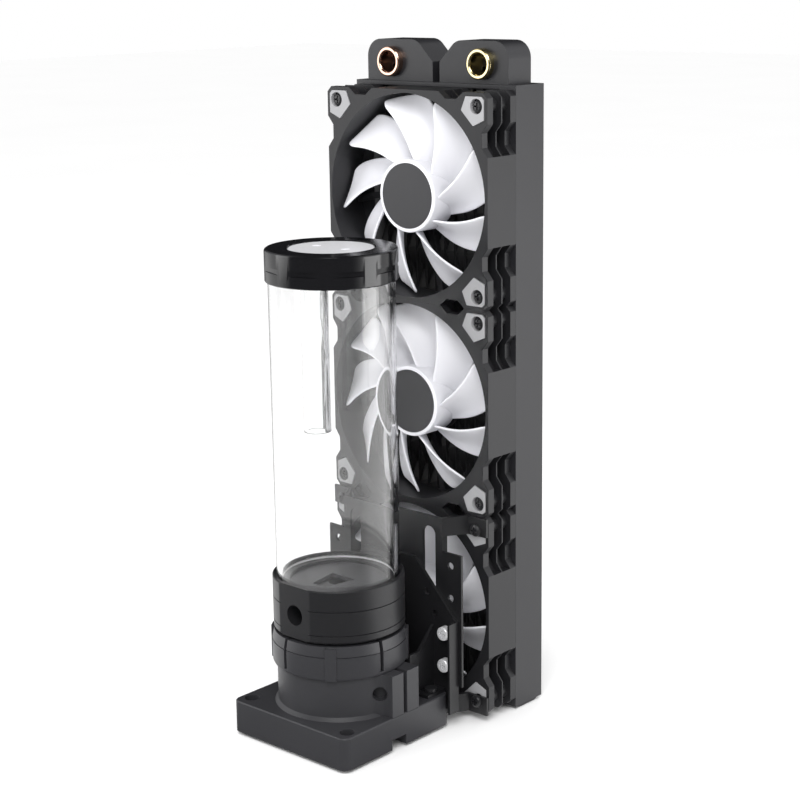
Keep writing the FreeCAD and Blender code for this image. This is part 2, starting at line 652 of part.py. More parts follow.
def core():
    """Flat tubes in a row, and the folded fin strip in each gap."""
    pitch = "(%s / (tube_count + 1))" % CORE_WIDTH
    height = "(%s - %s)" % (STACK_TOP, CORE_FOOT)
    tubes = new_body("rad_tubes", y=RAD_MIDDLE, z=CORE_FOOT)
    plan = new_sketch(tubes, "XY")
    first = "-(%s / 2) + %s" % (CORE_WIDTH, pitch)
    end = "(tube_depth / 2 - tube_thick / 2)"
    slot_outline(plan, first, "-%s" % end, end, "tube_thick / 2")
    bar = pad(tubes, plan, height)
    along(tubes, [bar], plan, "tube_count", "%s * (tube_count - 1)" % pitch)

    fins = doc.addObject("Part::Feature", "rad_fins")
    fins.Label = "rad_fins"
    folds = int(size("fin_folds"))
    gap = size(pitch) - size("tube_thick") - 2 * size("fin_clear")
    step = size(height) / folds
    thick = size("fin_sheet")
    deep = size("fin_depth")
    strips = []
    for number in range(int(size("tube_count")) + 1):
        left = -size(CORE_WIDTH) / 2 + number * size(pitch) + size("tube_thick") / 2 + size("fin_clear")
        near = [FreeCAD.Vector(left + (gap - thick) * (fold % 2), 0, fold * step) for fold in range(folds)]
        far = [spot + FreeCAD.Vector(thick, 0, 0) for spot in reversed(near)]
        wire = Part.makePolygon(near + far + near[:1])
        strip = Part.Face(wire).extrude(FreeCAD.Vector(0, deep, 0))
        strip.translate(FreeCAD.Vector(0, -deep / 2, 0))
        strips.append(strip)
    fins.Shape = Part.makeCompound(strips)
    tie(fins, ".Placement.Base.y", RAD_MIDDLE)
    tie(fins, ".Placement.Base.z", "%s + fin_clear" % CORE_FOOT)
    made.append(fins)


side_plate("rad_side_left", "-")
side_plate("rad_side_right", "")
header("rad_header_top", STACK_TOP, False)
header("rad_header_bottom", "foot_tank_high", True)
upper_tank()
lower_tank()
port("rad_port_left", "-")
port("rad_port_right", "")
core()


# Brackets

def fan_bracket():
    """Hat shaped sheet over the lowest fan, with ears under its corner screws."""
    body = new_body("fan_bracket", y=FAN_FRONT, z="stack_foot")
    ear_in = "(fan_size / 2 - bracket_ear)"
    front = "-bracket_depth"
    back = "-pad_proud"
    sheet_in = "bracket_sheet"
    right = [
        ("bracket_face", front), (ear_in, "%s - %s" % (back, sheet_in)),
        ("fan_size / 2", "%s - %s" % (back, sheet_in)), ("fan_size / 2", back),
        ("%s - %s" % (ear_in, sheet_in), back),
        ("bracket_face - %s" % sheet_in, "%s + %s" % (front, sheet_in)),
    ]
    left = [("-(%s)" % x, y) for x, y in reversed(right)]
    plan = new_sketch(body, "XY")
    outline(plan, right + left)
    pad(body, plan, "fan_size")
    gaps = new_sketch(body, "XZ", "-bracket_depth * 2")
    for sign in ("", "-"):
        box_outline(gaps, sign + "bracket_face", "bracket_bar", sign + "fan_size", "fan_size - bracket_bar")
    pocket(body, gaps, "bracket_depth * 2")
    wings = new_sketch(body, "XZ", "-bracket_depth")
    for sign in ("", "-"):
        box_outline(wings, sign + "(bracket_face - 1)", "wing_drop", sign + "bracket_wing", "fan_size - wing_drop")
    pad(body, wings, "bracket_sheet", back=True)
    cuts = new_sketch(body, "XZ")
    for sign in ("", "-"):
        x = sign + "slot_middle"
        high = "fan_size - slot_drop - slot_width / 2"
        slot_outline(cuts, x, "%s - slot_length + slot_width" % high, high, "slot_width / 2")
        for number in range(int(size("hole_count"))):
            circle(cuts, sign + "hole_column", "fan_size - hole_drop - hole_step * %d" % number, "hole_radius")
        for half in ("- %s / 2", "+ %s / 2"):
            circle(cuts, sign + "%s / 2" % FAN_PITCH, "fan_size / 2 " + half % FAN_PITCH, "fan_hole")
    pocket(body, cuts)


def carrier():
    """Upright plate behind the base with side lips, gussets and two feet."""
    body = new_body("carrier", y=BRACKET_FRONT, z="0")
    plate = new_sketch(body, "XZ", "-carrier_sheet")
    right = [
        ("carrier_width / 2", "carrier_low"), ("carrier_width / 2", "carrier_shoulder"),
        ("carrier_top_width / 2", "carrier_top"),
    ]
    left = [("-(%s)" % x, z) for x, z in reversed(right)]
    outline(plate, right + left)
    pad(body, plate, "carrier_sheet", back=True)
    lips = new_sketch(body, "XY", "carrier_low")
    for sign in ("", "-"):
        box_outline(
            lips, sign + "(carrier_width / 2 - lip_sheet)", "-carrier_sheet - carrier_lip",
            sign + "carrier_width / 2", "-carrier_sheet",
        )
    pad(body, lips, "carrier_shoulder - carrier_low")
    for sign in ("", "-"):
        web = new_sketch(body, "YZ", "%sgusset_place - carrier_sheet / 2" % sign)
        top = "%s + gusset_rise" % BASE_TOP
        outline(web, [
            ("-carrier_sheet", BASE_TOP), ("-carrier_sheet", "%s + gusset_slope" % top),
            ("-carrier_sheet - gusset_slope", top), ("-gusset_run", top), ("-gusset_run", BASE_TOP),
        ])
        pad(body, web, "carrier_sheet")
    feet = new_sketch(body, "XY", BASE_TOP)
    for sign in ("", "-"):
        box_outline(
            feet, sign + "(foot_place - foot_wide / 2)", "-carrier_sheet - foot_deep",
            sign + "(foot_place + foot_wide / 2)", "-carrier_sheet",
        )
    pad(body, feet, "carrier_sheet")
    foot_holes = new_sketch(body, "XY", BASE_TOP)
    face_holes = new_sketch(body, "XZ", "-carrier_sheet")
    for sign in ("", "-"):
        circle(foot_holes, sign + "base_hole_x", "-carrier_sheet - base_hole_rear", "base_hole")
        circle(face_holes, sign + "post_hole", "post_hole_high", "hole_radius")
        circle(face_holes, sign + "edge_hole", "edge_hole_high", "hole_radius")
        for number in ("(hole_count - 2)", "(hole_count - 1)"):
            level = "stack_foot + fan_size - hole_drop - hole_step * %s" % number
            circle(face_holes, sign + "hole_column", level, "hole_radius")
    pocket(body, foot_holes, "carrier_sheet", back=True)
    pocket(body, face_holes, "carrier_sheet")


def sheet_screws():
    """Bright screws that hold the carrier to the fan bracket, and the base to its feet."""
    body = new_body("carrier_screws", y=BASE_BACK)
    heads = new_sketch(body, "XZ", "-screw_head_high")
    shanks = new_sketch(body, "XZ")
    for sign in ("", "-"):
        for number in ("(hole_count - 2)", "(hole_count - 1)"):
            level = "stack_foot + fan_size - hole_drop - hole_step * %s" % number
            circle(heads, sign + "hole_column", level, "screw_head")
            circle(shanks, sign + "hole_column", level, "hole_radius - fit_gap")
    pad(body, heads, "screw_head_high", back=True)
    pad(body, shanks, "carrier_sheet + bracket_sheet + sheet_screw_bite", back=True)

    foot = new_body("foot_screws", y=BASE_BACK, z="%s + carrier_sheet" % BASE_TOP)
    caps = new_sketch(foot, "XY")
    stems = new_sketch(foot, "XY", "-carrier_sheet - base_high / 2")
    for sign in ("", "-"):
        circle(caps, sign + "base_hole_x", "-base_hole_rear", "screw_head")
        circle(stems, sign + "base_hole_x", "-base_hole_rear", "base_hole - fit_gap")
    pad(foot, caps, "screw_head_high")
    pad(foot, stems, "carrier_sheet + base_high / 2")


fan_bracket()
carrier()
sheet_screws()


# Base

def base_block():
    """Block under the pump with a slot across its underside and four screw holes."""
    body = new_body("base_block", y=PUMP_AXIS, z="base_lift")
    plan = new_sketch(body, "XY")
    half = "base_width / 2"
    deep = "base_depth / 2"
    box_outline(plan, "-%s" % half, "-%s" % deep, half, deep)
    pad(body, plan, "base_high")

    def upright(middle, ends, edge):
        return abs(ends.z) > 1 and abs(ends.x) < 0.01 and abs(ends.y) < 0.01

    dress(body, "Fillet", edges_where(body, upright), "base_round")
    top = size("base_high")

    def top_edge(middle, ends, edge):
        return middle.z > top - 0.01

    dress(body, "Chamfer", edges_where(body, top_edge), "base_edge")
    key = new_sketch(body, "YZ")
    box_outline(key, "-base_notch / 2", "-1", "base_notch / 2", "base_notch_high")
    pocket(body, key)
    holes = new_sketch(body, "XY")
    sinks = new_sketch(body, "XY", "base_high")
    for sign in ("", "-"):
        circle(holes, sign + "base_hole_x", "-(base_depth / 2 - base_hole_front)", "base_hole")
        circle(holes, sign + "base_hole_x", "base_depth / 2 - base_hole_rear", "base_hole")
        circle(sinks, sign + "base_hole_x", "-(base_depth / 2 - base_hole_front)", "base_sink")
    pocket(body, holes)
    pocket(body, sinks, "base_sink_deep")


base_block()


# Pump

def pump_cover():
    """Round cover blended into a cable block, with a stepped neck and a flared foot."""
    body = new_body("pump_cover", y=PUMP_AXIS, z=BASE_TOP)
    drum = new_sketch(body, "XY")
    circle(drum, "0", "0", "cover_radius")
    pad(body, drum, "cover_high")
    blocks = new_sketch(body, "XY")
    inside = "cover_bore + 2"
    second = "(block_back + block_slot)"
    box_outline(blocks, inside, "-block_front", "block_reach", "block_back")
    box_outline(blocks, inside, second, "block_reach", "%s + block_second" % second)
    pad(body, blocks, "cover_high")
    front = size("block_front")
    reach = size("block_reach")

    def inner_corner(middle, ends, edge):
        upright = abs(ends.z) > 1 and abs(ends.x) < 0.01
        return upright and abs(middle.y + front) < 0.01 and middle.x < reach - 1

    dress(body, "Fillet", edges_where(body, inner_corner), "block_blend")
    skirt = new_sketch(body, "XZ")
    neck_top = "cover_high + ring_high - can_flange_high - fit_gap"
    outline(skirt, [
        ("cover_bore - 1", "0"), ("cover_radius + cover_foot", "0"), ("cover_radius", "cover_foot"),
        ("cover_radius", "cover_high"), ("cover_neck", "cover_high"), ("cover_neck", neck_top),
        ("cover_bore - 1", neck_top),
    ])
    turn(body, skirt)
    clear = new_sketch(body, "XY")
    circle(clear, "0", "0", "cover_bore")
    pocket(body, clear)
    hole = new_sketch(body, "XZ")
    hole.AttachmentOffset = FreeCAD.Placement(
        FreeCAD.Vector(), FreeCAD.Rotation(FreeCAD.Vector(0, 1, 0), size("cable_turn")))
    tie(hole, ".AttachmentOffset.Rotation.Angle", "cable_turn")
    tie(hole, ".AttachmentOffset.Base.x", "cable_hole_x + cable_hole * sin(cable_turn)")
    tie(hole, ".AttachmentOffset.Base.z", "cable_hole_y + cable_hole * cos(cable_turn)")
    circle(hole, "0", "cable_hole_high", "cable_hole")
    pocket(body, hole, "cable_hole + cable_hole_deep")


def pump_motor():
    """Motor can with its bowl, wound core, drive board, ball pivot and seal."""
    can = turned_body("motor_can", [
        ("pivot_stem", "%s - can_lift - %s - bowl_radius - can_wall" % (CAN_TOP, BASE_TOP)),
        ("core_inner - 1", "%s - can_lift - %s - bowl_radius - can_wall" % (CAN_TOP, BASE_TOP)),
        ("core_inner - 1", "%s - can_lift - %s - can_wall" % (CAN_TOP, BASE_TOP)),
        ("can_radius - can_wall", "%s - can_lift - %s - can_wall" % (CAN_TOP, BASE_TOP)),
        ("can_radius - can_wall", "0"), ("can_radius", "0"),
        ("can_radius", "%s - can_lift - %s" % (CAN_TOP, BASE_TOP)),
        ("can_flange", "%s - can_lift - %s" % (CAN_TOP, BASE_TOP)),
        ("can_flange", "%s - can_lift - %s" % (RING_TOP, BASE_TOP)),
        ("pivot_stem", "%s - can_lift - %s" % (RING_TOP, BASE_TOP)),
    ], z="%s + can_lift" % BASE_TOP)
    doc.recompute()
    bowl = can.newObject("PartDesign::SubtractiveSphere", "motor_can_bowl")
    tie(bowl, "Radius", "bowl_radius")
    plane = [item for item in can.Origin.OriginFeatures if item.Role == "XY_Plane"][0]
    bowl.AttachmentSupport = [(plane, "")]
    bowl.MapMode = "FlatFace"
    tie(bowl, ".AttachmentOffset.Base.z", "%s - can_lift - %s" % (RING_TOP, BASE_TOP))

    core_ring = new_body("motor_core", y=PUMP_AXIS, z="%s + can_lift + board_lift + board_sheet" % BASE_TOP)
    ring = new_sketch(core_ring, "XY")
    circle(ring, "0", "0", "core_outer")
    circle(ring, "0", "0", "core_inner")
    pad(core_ring, ring, "core_high")
    slot = new_sketch(core_ring, "XY", "core_high")
    box_outline(slot, "core_inner - 1", "-core_slot / 2", "core_outer - 2", "core_slot / 2")
    cut = pocket(core_ring, slot, "core_high")
    around(core_ring, [cut], slot, "core_teeth")

    board = new_body("drive_board", y=PUMP_AXIS, z="%s + can_lift + board_lift" % BASE_TOP)
    disc = new_sketch(board, "XY")
    circle(disc, "0", "0", "can_radius - can_wall - fit_gap")
    circle(disc, "0", "0", "core_inner / 2")
    pad(board, disc, "board_sheet")

    pivot = new_body("pivot_ball", y=PUMP_AXIS, z="%s - bowl_radius - can_wall" % RING_TOP)
    stem = new_sketch(pivot, "XY")
    circle(stem, "0", "0", "pivot_stem")
    pad(pivot, stem, "bowl_radius + can_wall - pivot_radius / 2")
    doc.recompute()
    ball = pivot.newObject("PartDesign::AdditiveSphere", "pivot_ball_head")
    tie(ball, "Radius", "pivot_radius")
    plane = [item for item in pivot.Origin.OriginFeatures if item.Role == "XY_Plane"][0]
    ball.AttachmentSupport = [(plane, "")]
    ball.MapMode = "FlatFace"
    tie(ball, ".AttachmentOffset.Base.z", "bowl_radius + can_wall")

    seal("pump_seal", "seal_place", "seal_cord", "%s + seal_cord" % RING_TOP)


def seal(label, place, cord, level):
    """A rubber ring of round section."""
    ring = doc.addObject("Part::Torus", label)
    ring.Label = label
    tie(ring, "Radius1", place)
    tie(ring, "Radius2", cord)
    tie(ring, ".Placement.Base.y", PUMP_AXIS)
    tie(ring, ".Placement.Base.z", level)
    made.append(ring)


def impeller():
    """Rotor bowl on the ball pivot with curved vanes on its disc."""
    body = new_body("impeller", y=PUMP_AXIS, z=RING_TOP)
    doc.recompute()
    bowl = body.newObject("PartDesign::AdditiveSphere", "impeller_bowl")
    tie(bowl, "Radius", "bowl_radius - bowl_gap")
    bowl.Angle1 = -90
    bowl.Angle2 = 0
    plane = [item for item in body.Origin.OriginFeatures if item.Role == "XY_Plane"][0]
    bowl.AttachmentSupport = [(plane, "")]
    bowl.MapMode = "FlatFace"
    disc = new_sketch(body, "XY")
    circle(disc, "0", "0", "rotor_disc")
    tie(disc, ".AttachmentOffset.Base.z", "bowl_gap / 2")
    pad(body, disc, "rotor_disc_high")
    neck = new_sketch(body, "XY", "-bowl_gap / 2")
    circle(neck, "0", "0", "bowl_radius - bowl_gap * 2")
    pad(body, neck, "bowl_gap * 1.5")
    vane = new_sketch(body, "XY", "bowl_gap / 2 + rotor_disc_high")
    tip = "(rotor_disc - 1)"
    outline(vane, [
        ("vane_inner", "0"), ("%s * 0.55" % tip, "-%s * 0.22" % tip), ("%s * 0.8" % tip, "-%s * 0.58" % tip),
        ("%s * 0.8 - vane_thick" % tip, "-%s * 0.58 - vane_thick * 0.6" % tip),
        ("%s * 0.55 - vane_thick * 0.6" % tip, "-%s * 0.22 - vane_thick" % tip), ("vane_inner", "-vane_thick"),
    ])
    blade = pad(body, vane, "vane_high")
    around(body, [blade], vane, "vane_count")
    socket = new_sketch(body, "XZ")
    wide = "pivot_radius + running_gap"
    outline(socket, [("0", "-bowl_radius"), (wide, "-bowl_radius"), (wide, wide), ("0", wide)])
    turn(body, socket, cut=True)


def lock_ring():
    """Screw ring under the pump top: tapered upper band, slits and raised ribs."""
    body = turned_body("lock_ring", [
        ("ring_bore", "0"), ("ring_radius - ring_groove", "0"), ("ring_radius", "ring_groove * 2"),
        ("ring_radius", "ring_band"), ("ring_radius - ring_groove", "ring_band"),
        ("ring_radius - ring_groove", "ring_band + ring_groove"),
        ("ring_radius", "ring_band + ring_groove"), ("ring_radius - ring_taper", "ring_high"),
        ("ring_bore", "ring_high"),
    ], z=COVER_TOP)
    rib = new_sketch(body, "XY")
    middle = new_sketch(body, "XY", "ring_slit_foot")
    tie(rib, ".AttachmentOffset.Rotation.Angle", "ring_slit_turn + 45")
    tie(middle, ".AttachmentOffset.Rotation.Angle", "ring_slit_turn")
    box_outline(rib, "-ring_rib / 2", "-ring_radius - ring_rib_proud", "ring_rib / 2", "-ring_bore - 1")
    bump = pad(body, rib, "ring_high - ring_groove")
    around(body, [bump], rib, "ring_repeat")
    box_outline(middle, "-ring_slit / 2", "-ring_radius * 1.2", "ring_slit / 2", "-ring_bore + 2")
    cut = pocket(body, middle, "ring_high", back=True)
    around(body, [cut], middle, "ring_repeat")


def pump_top():
    """Turned pump top: volute below, tube seat above, front facet with the outlet thread."""
    groove_half = "top_groove / 2"
    body = turned_body("pump_top", [
        ("chamber_radius", "0"), ("top_radius", "0"),
        ("top_radius", "top_groove_low - %s" % groove_half),
        ("top_radius - top_groove", "top_groove_low"), ("top_radius", "top_groove_low + %s" % groove_half),
        ("top_radius", "top_groove_up - %s" % groove_half),
        ("top_radius - top_groove", "top_groove_up"), ("top_radius", "top_groove_up + %s" % groove_half),
        ("top_radius", "top_high - top_groove"), ("top_radius - top_groove", "top_high"),
        (GLASS_SEAT, "top_high"), (GLASS_SEAT, "top_high - seat_deep"), ("top_bore", "top_high - seat_deep"),
        ("top_bore", "top_floor"), ("eye_radius", "top_floor"),
        ("eye_radius", "chamber_high"), ("chamber_radius", "chamber_high"),
    ], z=TOP_FOOT)
    facet = new_sketch(body, "XY")
    box_outline(facet, "-top_radius", "-top_radius * 2", "top_radius", "-facet_place")
    pocket(body, facet, "top_high", back=True)
    outlet = new_sketch(body, "XZ", "-facet_place")
    circle(outlet, "0", "outlet_high", "outlet_radius")
    pocket(body, outlet, "outlet_deep")
    channel = new_sketch(body, "XZ", "-facet_place + outlet_deep - 1")
    circle(channel, "channel_x", "channel_high", "channel_radius")
    pocket(body, channel, "outlet_deep")


pump_cover()
pump_motor()
impeller()
lock_ring()
pump_top()


# Reservoir

def reservoir():
    """Clear tube between two flat gaskets, intake plate and drop tube."""
    inner = "glass_radius - glass_wall"
    levels = [
        ("reservoir_tube", GLASS_FOOT, "glass_high"), ("foot_seal", GASKET_FOOT, "gasket_sheet"),
        ("cap_seal", GLASS_TOP, "gasket_sheet"),
    ]
    for label, level, high in levels:
        turned_body(label, [(inner, "0"), ("glass_radius", "0"), ("glass_radius", high), (inner, high)], z=level)

    plate = new_body("intake_plate", y=PUMP_AXIS, z="%s + top_floor" % TOP_FOOT)
    disc = new_sketch(plate, "XY")
    circle(disc, "0", "0", "intake_radius")
    outline(disc, [
        ("-intake_wide", "intake_back"), ("-intake_narrow", "-intake_front"),
        ("intake_narrow", "-intake_front"), ("intake_wide", "intake_back"),
    ])
    pad(plate, disc, "intake_sheet")

    drop = new_body("drop_tube", x="-drop_place", y=PUMP_AXIS, z="%s + cap_skirt - drop_length" % CAP_FOOT)
    ring = new_sketch(drop, "XY")
    circle(ring, "0", "0", "drop_radius")
    circle(ring, "0", "0", "drop_radius - drop_wall")
    pad(drop, ring, "drop_length")


def cap():
    """Cap ring seated over the tube, with gripping slots and a floor with two holes."""
    body = turned_body("cap_ring", [
        ("0", "cap_skirt"), (GLASS_SEAT, "cap_skirt"), (GLASS_SEAT, "0"),
        ("cap_radius", "0"), ("cap_radius", "cap_high - cap_rim"), ("cap_radius - cap_rim", "cap_high"),
        ("cap_bore", "cap_high"), ("cap_bore", "cap_ledge"), ("cap_ledge_bore", "cap_ledge"),
        ("cap_ledge_bore", "cap_floor"), ("0", "cap_floor"),
    ], z=CAP_FOOT)
    slot = new_sketch(body, "XY", "cap_floor")
    tie(slot, ".AttachmentOffset.Rotation.Angle", "cap_slot_turn")
    flat = "-(cap_radius - cap_slot_deep)"
    box_outline(slot, "-cap_radius / 2", "-cap_radius * 1.2", "cap_radius / 2", flat)
    cut = pocket(body, slot, "cap_slot_high", back=True)
    around(body, [cut], slot, "cap_slots")
    holes = new_sketch(body, "XY")
    circle(holes, "-drop_place", "0", "drop_radius - drop_wall")
    circle(holes, "fill_place", "0", "fill_hole")
    pocket(body, holes, "cap_floor", back=True)


def fill_plug():
    """Screw plug in the cap with two pin wrench dimples and a seal round it."""
    drop = "plug_seal_drop"
    top = "cap_high - cap_ledge - plug_lift_gap - plug_sunk"
    groove = "plug_radius - ring_cord * 2.2"
    half = "ring_cord * 1.4"
    body = turned_body("fill_plug", [
        ("0", "0"), ("plug_radius - 1", "0"), ("plug_radius", "1"),
        ("plug_radius", "%s - %s - %s" % (top, drop, half)), (groove, "%s - %s - %s" % (top, drop, half)),
        (groove, "%s - %s + %s" % (top, drop, half)), ("plug_radius", "%s - %s + %s" % (top, drop, half)),
        ("plug_radius", "%s - cap_rim / 2" % top), ("plug_radius - cap_rim / 2", top), ("0", top),
    ], z="%s + cap_ledge + plug_lift_gap" % CAP_FOOT)
    dimples = new_sketch(body, "XY", top)
    for sign in ("", "-"):
        circle(dimples, sign + "plug_dimple_place", "0", "plug_dimple")
    pocket(body, dimples, "plug_dimple_deep")
    place = "cap_bore - running_gap - ring_cord"
    seal("plug_seal", place, "ring_cord", "%s + cap_high - plug_sunk - %s" % (CAP_FOOT, drop))


reservoir()
cap()
fill_plug()

doc.recompute()
for item in doc.Objects:
    if "Invalid" in item.State or "Error" in item.State:
        raise RuntimeError("%s failed: %s" % (item.Label, item.State))
for item in made:
    if item.Shape.isNull() or not item.Shape.isValid() or not item.Shape.Solids:
        raise RuntimeError("%s has no valid solid" % item.Label)
for item in made:
    item.Shape.exportStep("parts/%s.step" % item.Label)
print("parts written:", len(made))
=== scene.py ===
import math

import bpy
from mathutils import Matrix, Vector


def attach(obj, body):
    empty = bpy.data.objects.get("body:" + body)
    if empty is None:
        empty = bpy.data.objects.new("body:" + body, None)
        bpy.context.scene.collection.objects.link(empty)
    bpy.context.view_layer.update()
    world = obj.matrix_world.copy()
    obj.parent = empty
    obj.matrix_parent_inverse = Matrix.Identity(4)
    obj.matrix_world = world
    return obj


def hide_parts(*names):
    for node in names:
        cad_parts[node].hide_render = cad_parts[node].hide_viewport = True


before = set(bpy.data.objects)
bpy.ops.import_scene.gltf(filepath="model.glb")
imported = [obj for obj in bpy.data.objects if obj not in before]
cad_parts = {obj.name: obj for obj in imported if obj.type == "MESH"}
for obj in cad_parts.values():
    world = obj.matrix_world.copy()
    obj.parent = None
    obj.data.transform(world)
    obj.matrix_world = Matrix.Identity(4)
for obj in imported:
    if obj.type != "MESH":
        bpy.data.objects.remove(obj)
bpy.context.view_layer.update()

MM = 0.001


# Camera
# The unit was photographed from its front right and a little above, with a long lens.
# The camera looks at the middle fan and is rolled by less than a degree.

CAMERA_TURN, CAMERA_RISE, CAMERA_ROLL = 42.14, 13.52, -0.85
CAMERA_AWAY = 1055.16
LOOK_AT = (-6.62, 28.0, 184.89)

turn, rise, roll = (math.radians(angle) for angle in (CAMERA_TURN, CAMERA_RISE, CAMERA_ROLL))
back = Vector((math.sin(turn) * math.cos(rise), -math.cos(turn) * math.cos(rise), math.sin(rise)))
right = Vector((math.cos(turn), math.sin(turn), 0))
up = back.cross(right)
level_right = right * math.cos(roll) + up * math.sin(roll)
level_up = back.cross(level_right)
bpy.ops.object.camera_add()
camera = bpy.context.object
camera.name = "camera"
camera.data.lens = 80.997
camera.data.sensor_width = 36
turned_frame = Matrix((level_right, level_up, back)).transposed().to_4x4()
camera_place = Vector(LOOK_AT) * MM + back * CAMERA_AWAY * MM
camera.matrix_world = Matrix.Translation(camera_place) @ turned_frame
bpy.context.scene.camera = camera


# Studio
# A white sweep with soft boxes to the left and low on the right, and a key lamp over the lens.
# Reflections see a dim room on the lens's side and bright paper to the right and left rear; in
# reflections the floor is painted dim grey on the lens's side, a painted reflection.

def linear(code):
    """An sRGB hex colour as linear values."""
    parts = [int(code[i:i + 2], 16) / 255 for i in (1, 3, 5)]
    return [c / 12.92 if c <= 0.04045 else ((c + 0.055) / 1.055) ** 2.4 for c in parts] + [1.0]


def add_node(tree, kind, settings=None, inputs=None):
    """Adds a shader node, sets its settings, and fills or links its inputs."""
    new = tree.nodes.new("ShaderNode" + kind)
    for name, value in (settings or {}).items():
        setattr(new, name, value)
    for name, value in (inputs or {}).items():
        if isinstance(value, bpy.types.NodeSocket):
            tree.links.new(value, new.inputs[name])
        else:
            new.inputs[name].default_value = value
    return new


def lamp(name, place, size, power):
    """A soft lamp that faces the unit. Place and size are in metres, power in watts."""
    bpy.ops.object.light_add(type="AREA", location=place)
    light = bpy.context.object
    light.name = name
    light.data.shape = "RECTANGLE"
    light.data.size, light.data.size_y = size
    light.data.energy = power
    unit_middle = Vector((0, 0, 0.17))
    light.rotation_euler = (unit_middle - Vector(place)).to_track_quat("-Z", "Y").to_euler()


def seen_in_reflections(tree, direction, seen, dim, bright):
    """One colour for the lens; another, dim or bright by direction, for reflections."""
    aside = add_node(tree, "VectorMath", {"operation": "DOT_PRODUCT"}, {0: direction, 1: right})
    apart = add_node(tree, "Math", {"operation": "ABSOLUTE"}, {0: aside.outputs["Value"]})
    wide = add_node(tree, "MapRange", {"interpolation_type": "SMOOTHSTEP"}, {
        "Value": apart.outputs["Value"], "From Min": 0.25, "From Max": 0.8,
    })
    rearward = right * 0.35 - back
    beyond = add_node(tree, "VectorMath", {"operation": "DOT_PRODUCT"}, {
        0: direction, 1: rearward,
    })
    behind = add_node(tree, "MapRange", {"interpolation_type": "SMOOTHSTEP"}, {
        "Value": beyond.outputs["Value"], "From Min": -0.6, "From Max": -0.15,
    })
    share = add_node(tree, "Math", {"operation": "MULTIPLY"}, {
        0: wide.outputs["Result"], 1: behind.outputs["Result"],
    })
    mirrored = add_node(tree, "MixRGB", {}, {
        "Fac": share.outputs["Value"], "Color1": dim, "Color2": bright,
    })
    path = add_node(tree, "LightPath")
    glanced = add_node(tree, "Math", {"operation": "SUBTRACT", "use_clamp": True}, {
        0: path.outputs["Is Glossy Ray"], 1: path.outputs["Is Transmission Ray"],
    })
    return add_node(tree, "MixRGB", {}, {
        "Fac": glanced.outputs["Value"], "Color1": seen, "Color2": mirrored.outputs["Color"],
    }).outputs["Color"]


lamp("left_soft_box", (-0.95, -0.9, 0.5), (0.7, 0.9), 5)
lamp("right_soft_box", (1.0, 0.5, 0.1), (0.7, 0.5), 4)
lamp("key_over_lens", (0.75, -0.95, 1.3), (0.8, 0.8), 16)

world = bpy.data.worlds.new("studio")
bpy.context.scene.world = world
world.use_nodes = True
tree = world.node_tree
heading = add_node(tree, "TexCoord").outputs["Generated"]
shown = seen_in_reflections(
    tree, heading, linear("#ffffff"), linear("#1c1c1e"), linear("#fafafc"))
tree.links.new(shown, tree.nodes["Background"].inputs["Color"])
bpy.context.scene.view_settings.view_transform = "Standard"

bpy.ops.object.select_all(action="DESELECT")
bpy.ops.mesh.primitive_plane_add(size=14, location=(0, 0, 0))
floor = bpy.context.object
floor.name = "floor"
paper = bpy.data.materials.new("matt_white_paper_with_painted_reflection")
paper.use_nodes = True
tree = paper.node_tree
place = add_node(tree, "TexCoord").outputs["Object"]
heading = add_node(tree, "VectorMath", {"operation": "NORMALIZE"}, {0: place}).outputs["Vector"]
pulp = add_node(tree, "TexNoise", {}, {"Vector": place, "Scale": 3.0, "Detail": 2.0})
tone = add_node(tree, "MixRGB", {}, {
    "Fac": pulp.outputs["Fac"], "Color1": linear("#fbfbfb"), "Color2": linear("#fefefe"),
})
# Painted reflection: reflections see the floor painted dim grey, except to the sides away from
# the lens, where it stays white; the lens always sees it white.
shown = seen_in_reflections(
    tree, heading, tone.outputs["Color"], linear("#4a4a4c"), linear("#ffffff"))
shader = tree.nodes["Principled BSDF"]
tree.links.new(shown, shader.inputs["Base Color"])
shader.inputs["Roughness"].default_value = 1.0
shader.inputs["Specular IOR Level"].default_value = 0.0
floor.data.materials.append(paper)


# Base block
# A milled block of dark satin plastic under the pump, slotted across its underside.
# Its front corner holes are sunk for screw heads and its top edge is lightly broken.

def take(piece):
    """Selects one piece alone and makes it the active one."""
    bpy.ops.object.select_all(action="DESELECT")
    piece.select_set(True)
    bpy.context.view_layer.objects.active = piece


def enter(piece):
    """Opens one piece in edit mode with everything in it selected."""
    take(piece)
    bpy.ops.object.mode_set(mode="EDIT")
    bpy.ops.mesh.select_all(action="SELECT")


def settle(piece, edge, steps):
    """Fixes the place, rounds sharp edges by some mm and shades large faces flat."""
    take(piece)
    bpy.ops.object.transform_apply(location=True, rotation=True, scale=True)
    rounding = piece.modifiers.new("rounding", "BEVEL")
    rounding.width = edge * MM
    rounding.segments = steps
    rounding.limit_method = "ANGLE"
    rounding.angle_limit = math.radians(30)
    bpy.ops.object.modifier_apply(modifier=rounding.name)
    bpy.ops.object.shade_smooth_by_angle(angle=math.radians(32))
    weights = piece.modifiers.new("large_faces_lead", "WEIGHTED_NORMAL")
    weights.keep_sharp = True
    weights.weight = 90
    bpy.ops.object.modifier_apply(modifier=weights.name)


def dress(piece, material, slot, body, *nodes):
    """Gives a finished piece its material, its body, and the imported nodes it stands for."""
    piece.data.materials.clear()
    piece.data.materials.append(material)
    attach(piece, body)
    if nodes:
        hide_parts(*nodes)


def softened(node, edge, steps=2):
    """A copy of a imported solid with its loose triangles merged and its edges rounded."""
    piece = bpy.data.objects.new(node + "_shell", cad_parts[node].data.copy())
    bpy.context.scene.collection.objects.link(piece)
    enter(piece)
    bpy.ops.mesh.remove_doubles(threshold=0.00001)
    bpy.ops.mesh.dissolve_limited(angle_limit=math.radians(0.5))
    bpy.ops.object.mode_set(mode="OBJECT")
    settle(piece, edge, steps)
    return piece


